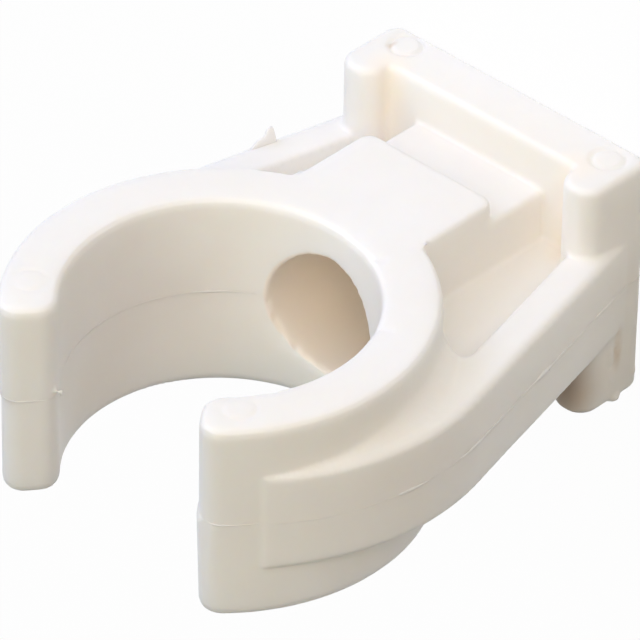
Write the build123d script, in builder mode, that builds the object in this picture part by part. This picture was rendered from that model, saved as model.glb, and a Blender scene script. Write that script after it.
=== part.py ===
from build123d import *
import math
import os

# Pipe clip, moulded in one piece. Sizes are in millimetres and degrees.
# The wall face lies at z = 0 and +Z leads away from the wall, out through the jaw's mouth.
# The pipe lies along Y, and X runs across the clip. Both halves mirror at x = 0 and at y = 0.

# Jaw: the open ring that snaps over the pipe
pipe_diameter = 21.0
jaw_wall = 4.0
jaw_width = 15.0
jaw_centre_z = 29.0
mouth_half_angle = 38.8
tip_corner = 1.5
jaw_edge_round = 1.0
jaw_edge_flats = 3

# Web: the flange that stiffens the arms and widens into the base
web_thickness = 7.5
web_start_angle = 55.0
web_half_width = 16.5
web_widest_below_centre = 3.5
web_root_z = 2.0
web_edge_chamfer = 0.35

# Blend: the hollow corner between the jaw and the web
web_blend = 1.6
blend_lap = 0.04
blend_sections = 5

# Pockets: hollows in both faces of the web, left and right of the neck
pocket_floor_thickness = 4.1
rim_width = 2.7
pocket_front_below_centre = 9.8
pocket_corner = 0.7

# Base: the channel section that stands on the wall
base_width = 23.0
base_height = 18.4
plate_thickness = 4.1
post_width = 3.2
post_reach = 1.9
post_nose = 1.4
post_root = 0.4
base_corner = 1.1
base_edge_round = 0.5

# Neck: the block round the screw hole, between the plate and the jaw
neck_width = 11.5
neck_step_height = 5.9
pad_start_z = 8.8
pad_corner = 1.0
neck_edge_round = 0.35

# Screw hole: wide for the head and the driver, narrow through the base
head_hole_diameter = 9.4
screw_hole_diameter = 4.6
screw_seat_z = 5.0

bore_radius = pipe_diameter / 2
jaw_outer_radius = bore_radius + jaw_wall
jaw_middle_radius = bore_radius + jaw_wall / 2
half_jaw = jaw_width / 2
half_web = web_thickness / 2
half_base_width = base_width / 2
half_floor = pocket_floor_thickness / 2
post_front_z = plate_thickness + post_reach

side_plane = Plane.XZ
jaw_plane = Plane(origin=(0, 0, jaw_centre_z), x_dir=(1, 0, 0), z_dir=(0, -1, 0))


def on_end_faces(edges, half_width):
    """Edges that lie in one of the two faces at y = half_width and y = -half_width."""
    return edges.filter_by(lambda edge: math.isclose(abs(edge.center().Y), half_width, abs_tol=1e-4))


def corners_at(vertices, points):
    """The corners of a plan that lie at the given points."""
    return vertices.filter_by(lambda vertex: any(math.dist((vertex.X, vertex.Y), point) < 1e-4 for point in points))


def tangent_point(centre, radius, point):
    """Where the straight line from a point outside touches the right side of a circle."""
    across = point[0] - centre[0]
    up = point[1] - centre[1]
    turn = math.atan2(up, across) + math.acos(radius / math.hypot(across, up))
    return (centre[0] + radius * math.cos(turn), centre[1] + radius * math.sin(turn))


# The jaw is a thick arc, open by twice the mouth's half angle
with BuildPart() as jaw:
    with BuildSketch(jaw_plane) as jaw_profile:
        with BuildLine():
            arc_start = 90 + mouth_half_angle
            arc_size = 360 - 2 * mouth_half_angle
            outer_arc = CenterArc((0, 0), jaw_outer_radius, arc_start, arc_size)
            inner_arc = CenterArc((0, 0), bore_radius, arc_start, arc_size)
            Line(outer_arc @ 0, inner_arc @ 0)
            Line(outer_arc @ 1, inner_arc @ 1)
        make_face()
        fillet(jaw_profile.vertices(), radius=tip_corner)
    extrude(amount=half_jaw - jaw_edge_round, both=True)
    # The round of its edges is drawn in narrow tapered steps, which keep the mesh light
    for index in range(jaw_edge_flats):
        taper = (index + 0.5) * 90 / jaw_edge_flats
        chord = 2 * jaw_edge_round * math.sin(math.radians(45 / jaw_edge_flats))
        rise = chord * math.cos(math.radians(taper))
        extrude(jaw.faces().sort_by(Axis.Y)[0], amount=rise, taper=taper)
        extrude(jaw.faces().sort_by(Axis.Y)[-1], amount=rise, taper=taper)

# Plan of the web: an arc that leaves the jaw at a soft crease, then a straight flank to the base
start_x = jaw_outer_radius * math.sin(math.radians(web_start_angle))
start_z = jaw_centre_z + jaw_outer_radius * math.cos(math.radians(web_start_angle))
widest_z = jaw_centre_z - web_widest_below_centre
swell = web_half_width - start_x
rise = start_z - widest_z
flank_radius = (swell ** 2 + rise ** 2) / (2 * swell)

flank_centre = (web_half_width - flank_radius, widest_z)
flank_end = tangent_point(flank_centre, flank_radius, (half_base_width, web_root_z))

with BuildSketch(side_plane) as web_plan:
    with BuildLine():
        Polyline((0, base_corner), (half_base_width, base_corner), (half_base_width, web_root_z), flank_end)
        ThreePointArc(flank_end, (web_half_width, widest_z), (start_x, start_z))
        Line((start_x, start_z), (0, start_z))
        mirror(about=Plane.YZ)
    make_face()


def web_reach(angle):
    """Distance from the jaw's axis to the web's outline, at an angle from the mouth."""
    out, up = math.sin(math.radians(angle)), math.cos(math.radians(angle))
    along = out * flank_centre[0] - up * web_widest_below_centre
    across = out * web_widest_below_centre + up * flank_centre[0]
    return along + math.sqrt(flank_radius ** 2 - across ** 2)


def blend_size(angle):
    """Radius of the hollow blend between the jaw and the web, where the web is wide enough for it."""
    return min(web_blend, web_reach(angle) - web_edge_chamfer - jaw_outer_radius)


# Blend of one arm: hollow corner sections, lofted round the jaw from the crease to the pocket
blend_start = web_start_angle
while blend_size(blend_start) < 2 * blend_lap:
    blend_start += 1
blend_end = 90 + math.degrees(math.asin(pocket_front_below_centre / jaw_outer_radius))

with BuildPart() as blend:
    for index in range(blend_sections):
        angle = blend_start + index * (blend_end - blend_start) / (blend_sections - 1)
        size = blend_size(angle)
        radial = (math.sin(math.radians(angle)), 0, math.cos(math.radians(angle)))
        normal = (-radial[2], 0, radial[0])
        with BuildSketch(Plane(origin=(0, 0, jaw_centre_z), x_dir=radial, z_dir=normal)):
            with BuildLine():
                corner = (jaw_outer_radius + size, half_web + size)
                hollow = CenterArc(corner, size + blend_lap, 180, 90)
                inside = (jaw_middle_radius, half_web - blend_lap)
                Polyline(hollow @ 1, inside, (jaw_middle_radius, half_web + size), hollow @ 0)
            make_face()
    loft()

# Plan of the base: a plate with a rounded post at each end
with BuildSketch(side_plane) as base_plan:
    with BuildLine():
        post_inner_x = half_base_width - post_width
        Polyline(
            (0, 0),
            (half_base_width, 0),
            (half_base_width, post_front_z),
            (post_inner_x, post_front_z),
            (post_inner_x, plate_thickness),
            (0, plate_thickness),
        )
        mirror(about=Plane.YZ)
    make_face()
    fillet(base_plan.vertices().group_by(Axis.Y)[-1], radius=post_nose)
    inner_corners = [(post_inner_x, plate_thickness), (-post_inner_x, plate_thickness)]
    fillet(corners_at(base_plan.vertices(), inner_corners), radius=post_root)
    back_corners = [(half_base_width, 0), (-half_base_width, 0)]
    fillet(corners_at(base_plan.vertices(), back_corners), radius=base_corner)

# Plan of the two pockets: the web less its rim, the jaw, the neck and the base
with BuildSketch(side_plane) as pocket_plan:
    add(web_plan.sketch_local)
    offset(amount=-rim_width)
    with Locations((0, jaw_centre_z)):
        Circle(jaw_outer_radius, mode=Mode.SUBTRACT)
    with Locations((0, jaw_centre_z - pocket_front_below_centre)):
        Rectangle(2 * web_half_width, jaw_centre_z, align=(Align.CENTER, Align.MIN), mode=Mode.SUBTRACT)
    Rectangle(neck_width, 2 * jaw_centre_z, mode=Mode.SUBTRACT)
    add(base_plan.sketch_local, mode=Mode.SUBTRACT)
    fillet(pocket_plan.vertices().group_by(Axis.Y)[-1], radius=pocket_corner)

with BuildPart() as web:
    with BuildSketch(side_plane):
        add(web_plan.sketch_local)
        with Locations((0, jaw_centre_z)):
            Circle(jaw_middle_radius, mode=Mode.SUBTRACT)
    extrude(amount=half_web, both=True)
    rim_edges = on_end_faces(web.edges(), half_web).filter_by(
        lambda edge: abs(edge.center().X) > half_base_width and edge.center().Z < start_z - jaw_wall
    )
    chamfer(rim_edges, length=web_edge_chamfer)
    add(blend.part)
    mirror(blend.part, about=Plane.YZ)
    mirror(blend.part, about=Plane.XZ)
    mirror(blend.part.mirror(Plane.YZ), about=Plane.XZ)
    for side in (-1, 1):
        with BuildSketch(side_plane.offset(side * half_floor)):
            add(pocket_plan.sketch_local)
        extrude(amount=side * (half_web + web_blend - half_floor), mode=Mode.SUBTRACT)

with BuildPart() as base:
    with BuildSketch(side_plane):
        add(base_plan.sketch_local)
    extrude(amount=base_height / 2, both=True)
    front_edges = on_end_faces(base.edges(), base_height / 2).filter_by(lambda edge: edge.center().Z > base_corner)
    fillet(front_edges, radius=base_edge_round)

with BuildPart() as neck:
    with BuildSketch(side_plane) as pad_plan:
        with Locations((0, pad_start_z)):
            Rectangle(
                neck_width,
                jaw_centre_z - jaw_middle_radius + jaw_edge_round - pad_start_z,
                align=(Align.CENTER, Align.MIN),
            )
        fillet(pad_plan.vertices().group_by(Axis.Y)[0], radius=pad_corner)
    extrude(amount=half_jaw, both=True)
    fillet(on_end_faces(neck.edges(), half_jaw), radius=neck_edge_round)

with BuildPart() as step:
    with BuildSketch(side_plane):
        Rectangle(neck_width, pad_start_z + pad_corner, align=(Align.CENTER, Align.MIN))
    extrude(amount=neck_step_height, both=True)
    fillet(on_end_faces(step.edges(), neck_step_height), radius=neck_edge_round)

with BuildPart() as clip_body:
    add(jaw.part)
    add(web.part)
    add(base.part)
    add(neck.part)
    add(step.part)
    with Locations((0, 0, jaw_centre_z)):
        CounterBoreHole(
            radius=screw_hole_diameter / 2,
            counter_bore_radius=head_hole_diameter / 2,
            counter_bore_depth=jaw_centre_z - screw_seat_z,
        )

clip_body.part.label = "clip_body"
os.makedirs("parts", exist_ok=True)
export_step(clip_body.part, "parts/clip_body.step")
print("solids", len(clip_body.part.solids()), "faces", len(clip_body.part.faces()))
print("valid", clip_body.part.is_valid, "volume", clip_body.part.volume)
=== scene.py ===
import math

import bmesh
import bpy
from mathutils import Matrix, Vector, kdtree, noise


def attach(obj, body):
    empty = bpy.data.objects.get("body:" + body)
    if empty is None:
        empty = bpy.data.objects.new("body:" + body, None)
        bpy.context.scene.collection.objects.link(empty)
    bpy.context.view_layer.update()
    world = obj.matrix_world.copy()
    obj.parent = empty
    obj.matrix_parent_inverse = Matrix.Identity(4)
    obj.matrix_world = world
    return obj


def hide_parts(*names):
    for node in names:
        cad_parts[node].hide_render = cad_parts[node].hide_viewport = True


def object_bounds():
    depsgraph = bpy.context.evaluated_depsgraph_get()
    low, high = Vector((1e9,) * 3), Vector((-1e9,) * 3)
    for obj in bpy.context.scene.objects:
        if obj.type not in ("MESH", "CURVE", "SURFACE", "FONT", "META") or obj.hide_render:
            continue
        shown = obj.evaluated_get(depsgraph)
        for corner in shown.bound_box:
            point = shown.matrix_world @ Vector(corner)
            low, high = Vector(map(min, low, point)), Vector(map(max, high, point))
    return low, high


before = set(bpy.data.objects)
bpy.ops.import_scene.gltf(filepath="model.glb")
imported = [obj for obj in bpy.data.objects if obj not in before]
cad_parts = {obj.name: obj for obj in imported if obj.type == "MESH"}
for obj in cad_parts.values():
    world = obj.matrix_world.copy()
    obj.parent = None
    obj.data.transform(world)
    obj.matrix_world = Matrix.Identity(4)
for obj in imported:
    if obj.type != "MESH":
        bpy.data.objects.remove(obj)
cad_box = [list(corner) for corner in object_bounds()]


# The moulding: one shot of unpigmented polypropylene, ivory in depth, with a satin skin.
# A worn tool leaves soft edges, its far half stands proud at the right tip, and handling nicks
# the corners. Its colour is warmer at the scar of the gate, and carries painted warm bounce light in
# the hole and the deep corners, painted shade beside a pin print and painted shadow on the foot.

moulding_colour = (0.93, 0.905, 0.865, 1)
shaded_colour = (0.90, 0.865, 0.80, 1)
# Painted warm bounce light for the wall of the hole and the deep corners
painted_bounce_colour = (0.99, 0.885, 0.775, 1)
# Browner colour for the gate's scar, also the painted shade beside a pin print
scar_and_pin_shade_colour = (0.77, 0.68, 0.58, 1)
# Painted shadow on the foot under the web
painted_foot_shadow_colour = (0.42, 0.31, 0.23, 1)

# Light goes a little way into the plastic, and red goes furthest
refraction = 1.49
sunk_light = 0.25
sunk_depth = 0.004
sunk_by_colour = (1, 0.75, 0.5)

# Scales of the noise that stands for the flow of the melt, the skin's grain, and the blotches of the
# scar's tint and of the pin print's painted shade
flow_scale = 90
flow_limits = (0.35, 0.75)
skin_roughness = (0.38, 0.52)
grain_scale = 1600
grain_depth = 0.00002
grain_strength = 0.35
blotch_scale = 900
blotch_limits = (0.3, 0.6)
blotch_least = 0.35

# Each tinted place: its middle, one over its half size, and the shares of that size at which the
# tint is full and gone. A 0 leaves that direction out.
# Painted warm bounce light in the hole and in the corners by the posts
painted_hole_bounce = ((0, 0, 0), (208, 208, 0), 1, 1.04)
painted_corner_bounce = ((0.0083, 0, 0.0041), (1000, 0, 1000), 0.2, 2.4)
painted_corner_bounce_share = 0.75
# Browner blotches at the gate's scar
scar_patch = ((0.0115, -0.0049, 0.0026), (1400, 620, 2300), 0.3, 1.4)
# Painted shade on the lower left of the pin print on the base's left post
painted_pin_shade = ((-0.0099, 0.0092, 0.0022), (3200, 1000, 1700), 0.2, 1.2)
# Painted shadow on the foot where the web overhangs it
painted_foot_shadow = ((0.0090, -0.0072, 0.0066), (400, 420, 460), 0.2, 1.9)


def link(tree, start, end):
    tree.links.new(start, end)


def new_node(tree, kind, **inputs):
    node = tree.nodes.new(kind)
    for name, value in inputs.items():
        node.inputs[name.replace("_", " ")].default_value = value
    return node


def number_step(tree, operation, first, second):
    """One step of arithmetic on a socket and a second socket or a fixed number."""
    step = tree.nodes.new("ShaderNodeMath")
    step.operation = operation
    link(tree, first, step.inputs[0])
    if isinstance(second, float):
        step.inputs[1].default_value = second
    else:
        link(tree, second, step.inputs[1])
    return step.outputs["Value"]


def vector_step(tree, operation, start, value=None):
    """One step of vector arithmetic, with a fixed second vector where it needs one."""
    step = tree.nodes.new("ShaderNodeVectorMath")
    step.operation = operation
    link(tree, start, step.inputs[0])
    if value is not None:
        step.inputs[1].default_value = value
    return step


def spot_mask(tree, start, middle, reach, full, gone):
    """1 inside an ellipsoid round a middle and 0 outside."""
    away = vector_step(tree, "SUBTRACT", start, middle)
    scaled = vector_step(tree, "MULTIPLY", away.outputs["Vector"], reach)
    length = vector_step(tree, "LENGTH", scaled.outputs["Vector"])
    fade = new_node(tree, "ShaderNodeMapRange", From_Min=gone, From_Max=full)
    fade.interpolation_type = "SMOOTHSTEP"
    link(tree, length.outputs["Value"], fade.inputs["Value"])
    return fade.outputs["Result"]


def mix_colour(tree, factor, first, second):
    """Mixes a colour, or a colour socket, towards a fixed second colour."""
    mix = tree.nodes.new("ShaderNodeMix")
    mix.data_type = "RGBA"
    link(tree, factor, mix.inputs["Factor"])
    if isinstance(first, tuple):
        mix.inputs["A"].default_value = first
    else:
        link(tree, first, mix.inputs["A"])
    mix.inputs["B"].default_value = second
    return mix.outputs["Result"]


plastic = bpy.data.materials.new("moulding")
plastic.use_nodes = True
tree = plastic.node_tree
tree.nodes.clear()
output = tree.nodes.new("ShaderNodeOutputMaterial")
skin = new_node(tree, "ShaderNodeBsdfPrincipled", IOR=refraction, Subsurface_Weight=sunk_light)
skin.inputs["Subsurface Scale"].default_value = sunk_depth
skin.inputs["Subsurface Radius"].default_value = sunk_by_colour
place = tree.nodes.new("ShaderNodeTexCoord").outputs["Object"]

flow = new_node(tree, "ShaderNodeTexNoise", Scale=flow_scale, Detail=4, Roughness=0.55)
link(tree, place, flow.inputs["Vector"])
tint_range = new_node(tree, "ShaderNodeMapRange", From_Min=flow_limits[0], From_Max=flow_limits[1])
link(tree, flow.outputs["Fac"], tint_range.inputs["Value"])
colour = mix_colour(tree, tint_range.outputs["Result"], moulding_colour, shaded_colour)

# Painted warm bounce light in deep places: the wall of the hole, and the corners between the base's
# plate and its posts
either_side = vector_step(tree, "ABSOLUTE", place).outputs["Vector"]
hole_bounce_mask = spot_mask(tree, place, *painted_hole_bounce)
corner_bounce_mask = spot_mask(tree, either_side, *painted_corner_bounce)
corner_bounce_mask = number_step(tree, "MULTIPLY", corner_bounce_mask, painted_corner_bounce_share)
painted_bounce_mask = number_step(tree, "MAXIMUM", hole_bounce_mask, corner_bounce_mask)
colour = mix_colour(tree, painted_bounce_mask, colour, painted_bounce_colour)

# Warmer blotches at the gate's scar on the right side of the base, painted shade in a spot by an
# ejector mark, and painted shadow on the foot
blotch = new_node(tree, "ShaderNodeTexNoise", Scale=blotch_scale, Detail=3)
link(tree, place, blotch.inputs["Vector"])
blotch_range = new_node(tree, "ShaderNodeMapRange", To_Min=blotch_least, To_Max=1)
blotch_range.inputs["From Min"].default_value = blotch_limits[0]
blotch_range.inputs["From Max"].default_value = blotch_limits[1]
link(tree, blotch.outputs["Fac"], blotch_range.inputs["Value"])
scar_patch_mask = spot_mask(tree, place, *scar_patch)
pin_shade_mask = spot_mask(tree, place, *painted_pin_shade)
scar_and_pin_shade_mask = number_step(tree, "MAXIMUM", scar_patch_mask, pin_shade_mask)
scar_and_pin_shade_mask = number_step(tree, "MULTIPLY", scar_and_pin_shade_mask, blotch_range.outputs["Result"])
colour = mix_colour(tree, scar_and_pin_shade_mask, colour, scar_and_pin_shade_colour)
# Painted shadow on the foot, darker towards its middle
foot_shadow_mask = spot_mask(tree, place, *painted_foot_shadow)
colour = mix_colour(tree, foot_shadow_mask, colour, painted_foot_shadow_colour)
link(tree, colour, skin.inputs["Base Color"])

sheen = new_node(tree, "ShaderNodeMapRange", To_Min=skin_roughness[0], To_Max=skin_roughness[1])
link(tree, flow.outputs["Fac"], sheen.inputs["Value"])
link(tree, sheen.outputs["Result"], skin.inputs["Roughness"])
grain = new_node(tree, "ShaderNodeTexNoise", Scale=grain_scale, Detail=3, Roughness=0.6)
link(tree, place, grain.inputs["Vector"])
relief = new_node(tree, "ShaderNodeBump", Strength=grain_strength, Distance=grain_depth)
link(tree, grain.outputs["Fac"], relief.inputs["Height"])
link(tree, relief.outputs["Normal"], skin.inputs["Normal"])
link(tree, skin.outputs["BSDF"], output.inputs["Surface"])

# The skin is made anew in even cells, softened, and thinned to a share of its faces at the end
voxel = 0.00018
edge_softening = 4
softening_share = 0.5
kept_share = 0.5

# Height and scale of the slow waves of the skin, and of its fine unevenness
waves = [(0.00002, 260), (0.000006, 800)]

# The jaw's long edges are tighter than their mean round: flats beside them slide along to meet it.
# Above the height jaw_only_z, the clip is no wider than the jaw.
jaw_axis_z = 0.029
half_jaw = 0.0075
jaw_only_z = 0.02
jaw_band = (0.0103, 0.0147)
jaw_round = 0.001
tight_round = 0.0006
round_facing = (0.04, 0.2)
slide_start = 0.0054

# The left arm has warped a little inwards and down while cooling; angles run from the mouth
arm_warp = Vector((0.00022, -0.00013, -0.00006))
warp_start = 150
warp_full = 40

# The web starts with a small step where it leaves the jaw, and the step runs out along the arm
half_web = 0.00375
web_step = 0.00013
web_step_start = 54.3
web_step_full = 57
web_step_end = 84
web_step_reach = 0.0135
web_edge_fade = 0.0002
web_side_facing = 0.7

# The far half of the mould: how far it stands out or back along the tips' end faces
seam_blend = 0.00018
end_facing = Vector((-0.72, 0, 0.69))
right_tip_step = 0.00016
right_tip_draft = 0.0065
left_tip_step = -0.00019
tip_start_z = 0.033
tip_full_z = 0.036

# The lower half of the bore sits back a hair behind the parting line
bore_step = 0.00004
bore_reach = 0.0108

# The worn stretch of the screw hole's edge inside the jaw
hole_radius = 0.0047
jaw_radius = 0.0105
worn_heights = (0.016, 0.021)
worn_start = 190
worn_end = 280
worn_fade = 15
worn_depth = 0.00016
worn_reach = 0.0005
worn_scale = 1200
worn_mean = 0.6
worn_spread = 1.2

# Place, radius and depth of each nick: along the jaw's edge, in the bore, and at the gate's scar
nicks = [
    ((0.0017, 0.0072, 0.0181), 0.0006, 0.00024),
    ((0.0026, 0.0072, 0.0183), 0.0005, 0.00020),
    ((0.0048, 0.0074, 0.0188), 0.0005, 0.00022),
    ((0.0043, 0.0074, 0.0190), 0.0004, 0.00016),
    ((0.0098, 0.0073, 0.0244), 0.0005, 0.00022),
    ((0.0104, 0.0074, 0.0241), 0.0005, 0.00020),
    ((0.0097, 0.0073, 0.0338), 0.0004, 0.00010),
    ((-0.0074, 0.0075, 0.0171), 0.0003, 0.00006),
    ((-0.0103, 0.0075, 0.0208), 0.0003, 0.00006),
    ((-0.0044, -0.0005, 0.0195), 0.0005, 0.00018),
    ((0.0115, -0.0032, 0.0028), 0.0005, 0.00014),
    ((0.0115, -0.0041, 0.0026), 0.0005, 0.00018),
    ((0.0115, -0.0050, 0.0027), 0.0005, 0.00015),
    ((0.0115, -0.0060, 0.0030), 0.0005, 0.00012),
]
nick_mean = 0.7
nick_spread = 0.6
nick_scale = 4000

# Place and groove depth of the round print of each ejector pin, two on the tips and two on the base
pins = [
    ((-0.0099, 0.0075, 0.0363), 0.00008),
    ((0.0093, 0.0075, 0.0367), 0.00008),
    ((-0.0091, 0.0092, 0.0016), 0.00022),
    ((0.00936, 0.0092, 0.0019), 0.0002),
]
pin_radius = 0.00112
pin_groove = 0.00016
pin_rise = 0.00003
pin_facing = 0.5

# Place and size of each lump: under the right foot, at the base's back corner, inside the left
# tip, and three beside the gate's scar
lumps = [
    ((0.0113, -0.0090, 0.0026), (0.00045, 0.0004, 0.0005)),
    ((0.0114, -0.0078, 0.0007), (0.0002, 0.00018, 0.00018)),
    ((-0.0067, 0.0006, 0.0370), (0.0002, 0.0003, 0.0002)),
    ((0.01144, -0.00495, 0.00327), (0.00026, 0.00024, 0.00022)),
    ((0.01144, -0.0057, 0.00326), (0.00026, 0.00028, 0.00022)),
    ((0.01142, -0.0074, 0.0031), (0.00024, 0.00022, 0.0002)),
]


def smooth_step(low, high, value):
    share = min(max((value - low) / (high - low), 0), 1)
    return share * share * (3 - 2 * share)


def plain_mesh(holder, name):
    """Turns what the modifiers make into a plain smooth mesh, and takes the modifiers off."""
    ready = holder.evaluated_get(bpy.context.evaluated_depsgraph_get())
    mesh = bpy.data.meshes.new_from_object(ready)
    holder.modifiers.clear()
    holder.data = mesh
    mesh.name = name
    holder.name = name
    for polygon in mesh.polygons:
        polygon.use_smooth = True
    return mesh


def keep_inside(mesh):
    """Flattens what would stand out of the box of the clip's own solid."""
    for vertex in mesh.vertices:
        for axis in range(3):
            vertex.co[axis] = min(max(vertex.co[axis], cad_box[0][axis]), cad_box[1][axis])
    mesh.update()


def from_jaw_axis(spot):
    return math.hypot(spot.x, spot.z - jaw_axis_z)


def from_mouth(spot):
    """Angle round the jaw's axis, from the mouth down either arm, in degrees."""
    return math.degrees(math.atan2(abs(spot.x), spot.z - jaw_axis_z))


def tightened(spot, normal):
    """How far a point of the jaw's rounded edges moves to make their round tighter."""
    plane = Vector((normal.x, 0, normal.z))
    if plane.length < round_facing[0] or not jaw_band[0] < from_jaw_axis(spot) < jaw_band[1]:
        return Vector()
    side = Vector((0, math.copysign(1, spot.y), 0))
    move = (plane.normalized() + side - normal) * (jaw_round - tight_round)
    move *= smooth_step(*round_facing, plane.length)
    return move * smooth_step(slide_start, half_jaw - jaw_round, abs(spot.y))


def web_lift(spot, normal):
    around = from_mouth(spot)
    if not web_step_start < around < web_step_end:
        return 0
    if abs(normal.y) >= web_side_facing or from_jaw_axis(spot) <= web_step_reach:
        return 0
    share = smooth_step(web_step_start, web_step_full, around)
    share *= 1 - smooth_step(web_step_full, web_step_end, around)
    share *= smooth_step(-half_web, web_edge_fade - half_web, -abs(spot.y))
    return web_step * share


def bore_lift(spot):
    if from_jaw_axis(spot) >= bore_reach:
        return 0
    return -bore_step * smooth_step(0, seam_blend, -spot.y)


def worn_lift(spot):
    out = math.hypot(spot.x, spot.y)
    if out >= hole_radius + 2 * worn_reach or not worn_heights[0] < spot.z < worn_heights[1]:
        return 0
    turn = math.degrees(math.atan2(spot.y, spot.x)) % 360
    share = smooth_step(worn_start, worn_start + worn_fade, turn)
    share *= smooth_step(-worn_end, worn_fade - worn_end, -turn)
    uneven = worn_mean + worn_spread * noise.noise(spot * worn_scale)
    away = math.hypot(out - hole_radius, from_jaw_axis(spot) - jaw_radius)
    return -worn_depth * share * uneven * math.exp(-((away / worn_reach) ** 2))


def tip_lift(spot, normal):
    if spot.z <= tip_start_z or spot.y >= seam_blend:
        return 0
    share = smooth_step(tip_start_z, tip_full_z, spot.z) * smooth_step(0, seam_blend, -spot.y)
    step = left_tip_step
    if spot.x > 0:
        step = right_tip_step * (1 + spot.y / right_tip_draft)
    return step * share * max(normal.dot(end_facing), 0)


moulding_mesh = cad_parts["clip_body"].data.copy()
moulding = bpy.data.objects.new("clip_moulding", moulding_mesh)
bpy.context.scene.collection.objects.link(moulding)
bm = bmesh.new()
bm.from_mesh(moulding_mesh)
bmesh.ops.remove_doubles(bm, verts=bm.verts, dist=1e-6)
for lump_place, reach in lumps:
    stretch = Matrix.Diagonal(reach).to_4x4()
    lump_matrix = Matrix.Translation(lump_place) @ stretch
    bmesh.ops.create_icosphere(bm, subdivisions=3, radius=1, matrix=lump_matrix)
bm.to_mesh(moulding_mesh)
bm.free()
moulding_mesh.materials.clear()
moulding_mesh.materials.append(plastic)

remesh = moulding.modifiers.new("even_skin", "REMESH")
remesh.mode = "VOXEL"
remesh.voxel_size = voxel
soften = moulding.modifiers.new("soft_edges", "SMOOTH")
soften.factor = softening_share
soften.iterations = edge_softening
skin_mesh = plain_mesh(moulding, "clip_moulding")

# Points that slide along the skin: the tighter edges, and the warp of the left arm
normals = [vertex.normal.copy() for vertex in skin_mesh.vertices]
for vertex, normal in zip(skin_mesh.vertices, normals):
    spot = vertex.co.copy()
    spot += tightened(spot, normal)
    if spot.z > jaw_only_z:
        spot.y = min(max(spot.y, -half_jaw), half_jaw)
    if spot.x < 0:
        spot += arm_warp * smooth_step(-warp_start, -warp_full, -from_mouth(spot))
    vertex.co = spot
skin_mesh.update()

# Points that rise or sink along their normals: waves, steps, wear, nicks and pin prints
normals = [vertex.normal.copy() for vertex in skin_mesh.vertices]
near = kdtree.KDTree(len(skin_mesh.vertices))
lifts = []
for vertex, normal in zip(skin_mesh.vertices, normals):
    near.insert(vertex.co, vertex.index)
    spot = vertex.co.copy()
    lift = sum(height * noise.noise(spot * scale) for height, scale in waves)
    lift += web_lift(spot, normal)
    lift += bore_lift(spot)
    lift += worn_lift(spot)
    lift += tip_lift(spot, normal)
    lifts.append(lift)
near.balance()
for nick_place, radius, depth in nicks:
    for spot, index, distance in near.find_range(nick_place, 2 * radius):
        uneven = nick_mean + nick_spread * noise.noise(spot * nick_scale)
        lifts[index] -= depth * uneven * math.exp(-2 * (distance / radius) ** 2)
for pin_place, groove in pins:
    for spot, index, distance in near.find_range(pin_place, 1.5 * pin_radius):
        if normals[index].y > pin_facing:
            across = math.hypot(spot.x - pin_place[0], spot.z - pin_place[2])
            lifts[index] -= groove * math.exp(-((across - pin_radius) / pin_groove) ** 2)
            lifts[index] += pin_rise * smooth_step(pin_radius, pin_radius - pin_groove, across)
for vertex, normal, lift in zip(skin_mesh.vertices, normals, lifts):
    vertex.co += normal * lift

thin_out = moulding.modifiers.new("lighter", "DECIMATE")
thin_out.ratio = kept_share
keep_inside(plain_mesh(moulding, "clip_moulding"))

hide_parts("clip_body")
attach(moulding, "root")


# Parting line: the thin fin of flash that the shut mould lets through, all round at y = 0.
# It is the same plastic, patchy, and stands out furthest along both flanks and least on the
# outside of the jaw. A worn tool leaves it, and nobody trims it.

# Its least and greatest height, the scale of its patches, and its thickness as a share of height
fin_low = 0.00002
fin_high = 0.0001
fin_patches = 330
patch_limits = (0.42, 0.68)
fin_step = 0.00015
fin_sides = 10
fin_thickness = 0.8
wander = 0.00003
flash_seed = 4.0

# How strongly it grows on the flanks, in the bore, and elsewhere
flank_growth = 2.2
bore_growth = 0.9
other_growth = 0.7
flank_start_x = 0.0115

# It leaves out the screw hole and the back that lies on the wall
hole_reach = 0.0052
hole_end_z = 0.022
back_clear = 0.0005


def group_input(tree, name, kind, value=None):
    socket = tree.interface.new_socket(name, in_out="INPUT", socket_type=kind)
    if value is not None:
        socket.default_value = value


def set_inputs(modifier, tree, values):
    """Sets a tree's inputs on its modifier by the sockets' identifiers."""
    for item in tree.interface.items_tree:
        if item.item_type == "SOCKET" and item.in_out == "INPUT" and item.name in values:
            modifier[item.identifier] = values[item.name]


flash_tree = bpy.data.node_groups.new("parting_flash", "GeometryNodeTree")
group_input(flash_tree, "Seam", "NodeSocketGeometry")
group_input(flash_tree, "Lowest", "NodeSocketFloat", fin_low)
group_input(flash_tree, "Highest", "NodeSocketFloat", fin_high)
group_input(flash_tree, "Patches", "NodeSocketFloat", fin_patches)
group_input(flash_tree, "Step", "NodeSocketFloat", fin_step)
group_input(flash_tree, "Thickness", "NodeSocketFloat", fin_thickness)
group_input(flash_tree, "Wander", "NodeSocketFloat", wander)
group_input(flash_tree, "Seed", "NodeSocketFloat", flash_seed)
group_input(flash_tree, "Plastic", "NodeSocketMaterial")
flash_tree.interface.new_socket("Flash", in_out="OUTPUT", socket_type="NodeSocketGeometry")
given = flash_tree.nodes.new("NodeGroupInput")
made = flash_tree.nodes.new("NodeGroupOutput")

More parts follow.
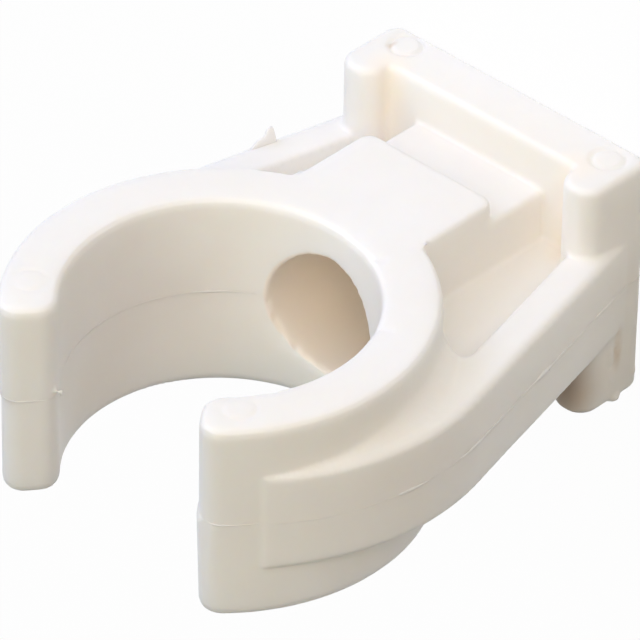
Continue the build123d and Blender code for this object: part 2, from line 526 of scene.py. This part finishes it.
# The seam as an even curve that wanders a little off its plane
seam = flash_tree.nodes.new("GeometryNodeMeshToCurve")
link(flash_tree, given.outputs["Seam"], seam.inputs["Mesh"])
even = flash_tree.nodes.new("GeometryNodeResampleCurve")
even.mode = "LENGTH"
link(flash_tree, seam.outputs["Curve"], even.inputs["Curve"])
link(flash_tree, given.outputs["Step"], even.inputs["Length"])
here = flash_tree.nodes.new("GeometryNodeInputPosition")
patch = new_node(flash_tree, "ShaderNodeTexNoise", Detail=3)
patch.noise_dimensions = "4D"
link(flash_tree, here.outputs["Position"], patch.inputs["Vector"])
link(flash_tree, given.outputs["Patches"], patch.inputs["Scale"])
link(flash_tree, given.outputs["Seed"], patch.inputs["W"])
shake = vector_step(flash_tree, "SUBTRACT", patch.outputs["Color"], (0.5, 0.5, 0.5))
drift = vector_step(flash_tree, "SCALE", shake.outputs["Vector"])
link(flash_tree, given.outputs["Wander"], drift.inputs["Scale"])
moved = flash_tree.nodes.new("GeometryNodeSetPosition")
link(flash_tree, even.outputs["Curve"], moved.inputs["Geometry"])
link(flash_tree, drift.outputs["Vector"], moved.inputs["Offset"])

# The fin's section is a pressed circle, as high as the patch and the place make it
profile = new_node(flash_tree, "GeometryNodeCurvePrimitiveCircle", Resolution=fin_sides, Radius=1)
flat = new_node(flash_tree, "ShaderNodeCombineXYZ", X=1, Z=1)
link(flash_tree, given.outputs["Thickness"], flat.inputs["Y"])
pressed = flash_tree.nodes.new("GeometryNodeTransform")
link(flash_tree, profile.outputs["Curve"], pressed.inputs["Geometry"])
link(flash_tree, flat.outputs["Vector"], pressed.inputs["Scale"])
height = new_node(flash_tree, "ShaderNodeMapRange", From_Min=patch_limits[0], From_Max=patch_limits[1])
link(flash_tree, patch.outputs["Fac"], height.inputs["Value"])
link(flash_tree, given.outputs["Lowest"], height.inputs["To Min"])
link(flash_tree, given.outputs["Highest"], height.inputs["To Max"])
grown = new_node(flash_tree, "GeometryNodeInputNamedAttribute", Name="growth")
full = number_step(flash_tree, "MULTIPLY", height.outputs["Result"], grown.outputs["Attribute"])
fin = new_node(flash_tree, "GeometryNodeCurveToMesh", Fill_Caps=True)
link(flash_tree, moved.outputs["Geometry"], fin.inputs["Curve"])
link(flash_tree, pressed.outputs["Geometry"], fin.inputs["Profile Curve"])
link(flash_tree, full, fin.inputs["Scale"])
whole = flash_tree.nodes.new("GeometryNodeRealizeInstances")
link(flash_tree, fin.outputs["Mesh"], whole.inputs["Geometry"])
coat = flash_tree.nodes.new("GeometryNodeSetMaterial")
link(flash_tree, whole.outputs["Geometry"], coat.inputs["Geometry"])
link(flash_tree, given.outputs["Plastic"], coat.inputs["Material"])
link(flash_tree, coat.outputs["Geometry"], made.inputs["Flash"])

# The seam is where the moulding meets the plane y = 0
bm = bmesh.new()
bm.from_mesh(moulding.data)
bmesh.ops.bisect_plane(
    bm,
    geom=bm.verts[:] + bm.edges[:] + bm.faces[:],
    plane_co=(0, 0, 0),
    plane_no=(0, 1, 0),
    clear_inner=True,
    clear_outer=True,
)
in_hole = [v for v in bm.verts if abs(v.co.x) < hole_reach and v.co.z < hole_end_z]
on_back = [v for v in bm.verts if v.co.z < back_clear]
bmesh.ops.delete(bm, geom=list(set(in_hole + on_back)), context="VERTS")
growth = bm.verts.layers.float.new("growth")
for vertex in bm.verts:
    if abs(vertex.co.x) > flank_start_x and vertex.co.z < jaw_axis_z:
        vertex[growth] = flank_growth
    elif from_jaw_axis(vertex.co) < bore_reach:
        vertex[growth] = bore_growth
    else:
        vertex[growth] = other_growth
seam_mesh = bpy.data.meshes.new("parting_flash")
bm.to_mesh(seam_mesh)
bm.free()
flash = bpy.data.objects.new("parting_flash", seam_mesh)
bpy.context.scene.collection.objects.link(flash)
flash_maker = flash.modifiers.new("flash", "NODES")
flash_maker.node_group = flash_tree
set_inputs(flash_maker, flash_tree, {"Plastic": plastic})
keep_inside(plain_mesh(flash, "parting_flash"))
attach(flash, "root")


# Flake of flash: a thin scrap of plastic that nobody trimmed off the left rim.
# It stands on the rim's edge, steep towards the base and ragged towards the jaw.

flake_middle = Vector((-0.01322, 0.0034, 0.0115))
flake_along = Vector((-0.2563, 0, 0.9666))
flake_growth = Vector((-0.2, 0.97, -0.1))
flake_half_length = 0.00135
flake_height = 0.0013
flake_root = 0.0005
flake_thickness = 0.0003
flake_steps = 30

# Its outline along its length, which runs from -1 to 1: where it rises, sinks and falls away
flake_rise = (-1, -0.85)
flake_sink = (-0.55, -0.35)
flake_sink_share = 0.4
flake_fall = (-0.15, 0.9)
flake_foot = 0.1
flake_rag = 0.15
flake_rag_scale = 4
flake_rag_seed = (1.7, 2.5)

bm = bmesh.new()
columns = []
for index in range(flake_steps + 1):
    share = 2 * index / flake_steps - 1
    ragged = 1 + flake_rag * noise.noise(Vector((share * flake_rag_scale, *flake_rag_seed)))
    body = smooth_step(*flake_rise, share) * (1 - smooth_step(*flake_fall, share))
    body *= 1 - flake_sink_share * smooth_step(*flake_sink, share)
    top = flake_height * (body * ragged + flake_foot * (1 - share))
    base = flake_middle + flake_along * (flake_half_length * share)
    rows = (-flake_root, 0, 0.5 * top, top)
    columns.append([bm.verts.new(base + flake_growth * rise) for rise in rows])
for first, second in zip(columns, columns[1:]):
    for row in range(3):
        bm.faces.new((first[row], second[row], second[row + 1], first[row + 1]))
flake_mesh = bpy.data.meshes.new("rim_flake")
bm.to_mesh(flake_mesh)
bm.free()
flake_mesh.materials.append(plastic)
flake = bpy.data.objects.new("rim_flake", flake_mesh)
bpy.context.scene.collection.objects.link(flake)
flake_wall = flake.modifiers.new("thickness", "SOLIDIFY")
flake_wall.thickness = flake_thickness
flake_wall.offset = 0
flake_round = flake.modifiers.new("round", "SUBSURF")
flake_round.levels = 1
flake_round.render_levels = 1
keep_inside(plain_mesh(flake, "rim_flake"))
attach(flake, "root")


# Floor: a plain pale sheet, white to the camera, that keeps the clip's soft shadow.
# Four lamps: a broad one over the jaw's upper face, and three lesser ones from the front, the
# camera and the back left. The world is dim, and white only where it is seen or mirrored.

floor_half_size = 2
floor_colour = (0.9, 0.9, 0.9, 1)
floor_glow_share = 0.97
white = (1, 1, 1, 1)
dim = (0.02, 0.02, 0.02, 1)


def seen_rays(tree):
    """1 for rays that come from the camera, a mirror or glass, and 0 for the rest."""
    rays = tree.nodes.new("ShaderNodeLightPath").outputs
    mirrored = number_step(tree, "MAXIMUM", rays["Is Glossy Ray"], rays["Is Transmission Ray"])
    return number_step(tree, "MAXIMUM", rays["Is Camera Ray"], mirrored)


floor_mesh = bpy.data.meshes.new("floor")
bm = bmesh.new()
bmesh.ops.create_grid(bm, x_segments=1, y_segments=1, size=floor_half_size)
bm.to_mesh(floor_mesh)
bm.free()
floor = bpy.data.objects.new("floor", floor_mesh)
bpy.context.scene.collection.objects.link(floor)
floor_white = bpy.data.materials.new("floor_white")
floor_white.use_nodes = True
tree = floor_white.node_tree
tree.nodes.clear()
output = tree.nodes.new("ShaderNodeOutputMaterial")
sheet = new_node(tree, "ShaderNodeBsdfDiffuse", Color=floor_colour)
glow = new_node(tree, "ShaderNodeEmission", Color=white, Strength=1)
blend = tree.nodes.new("ShaderNodeMixShader")
link(tree, number_step(tree, "MULTIPLY", seen_rays(tree), floor_glow_share), blend.inputs["Fac"])
link(tree, sheet.outputs["BSDF"], blend.inputs[1])
link(tree, glow.outputs["Emission"], blend.inputs[2])
link(tree, blend.outputs["Shader"], output.inputs["Surface"])
floor_mesh.materials.append(floor_white)

world = bpy.data.worlds.new("studio")
bpy.context.scene.world = world
world.use_nodes = True
tree = world.node_tree
tree.nodes.clear()
output = tree.nodes.new("ShaderNodeOutputWorld")
sky = tree.nodes.new("ShaderNodeBackground")
link(tree, mix_colour(tree, seen_rays(tree), dim, white), sky.inputs["Color"])
link(tree, sky.outputs["Background"], output.inputs["Surface"])


def lamp(name, place, size, power, colour):
    """A square lamp that shines on the middle of the clip."""
    light = bpy.data.lights.new(name, "AREA")
    light.shape = "SQUARE"
    light.size = size
    light.energy = power
    light.color = colour
    body = bpy.data.objects.new(name, light)
    body.location = place
    body.rotation_euler = (clip_middle - Vector(place)).to_track_quat("-Z", "Y").to_euler()
    bpy.context.scene.collection.objects.link(body)


clip_middle = Vector((0, 0, 0.02))
lamp("upper_lamp", (0.0572, 0.5721, 0.1916), 1.2, 4.85, (0.928, 0.951, 1))
lamp("front_lamp", (0.0586, 0.1171, 0.6055), 0.4, 1.2, (0.943, 1, 0.92))
lamp("camera_lamp", (0.3258, 0.3620, 0.3699), 0.25, 0.66, (1, 0.69, 0.35))
lamp("back_lamp", (-0.4332, 0.3713, 0.2057), 0.4, 1.56, (0.61, 0.685, 1))


# Camera: a long lens that looks down on the clip from above its right arm, as in the photo.
# It is rolled so that the jaw's upper face is on top.

camera_place = Vector((0.254406, 0.278361, 0.291746))
camera_view = Vector((-0.547185, -0.597908, -0.585743))
camera_up = Vector((-0.420028, 0.801458, -0.425724))
camera_right = camera_view.cross(camera_up)
camera_data = bpy.data.cameras.new("camera")
camera_data.sensor_width = 36
camera_data.lens = 397.7235
camera_data.clip_start = 0.01
camera = bpy.data.objects.new("camera", camera_data)
camera_turn = Matrix((camera_right, camera_up, -camera_view)).transposed()
camera.matrix_world = camera_turn.to_4x4()
camera.location = camera_place
bpy.context.scene.collection.objects.link(camera)
bpy.context.scene.camera = camera
bpy.context.scene.view_settings.view_transform = "Standard"
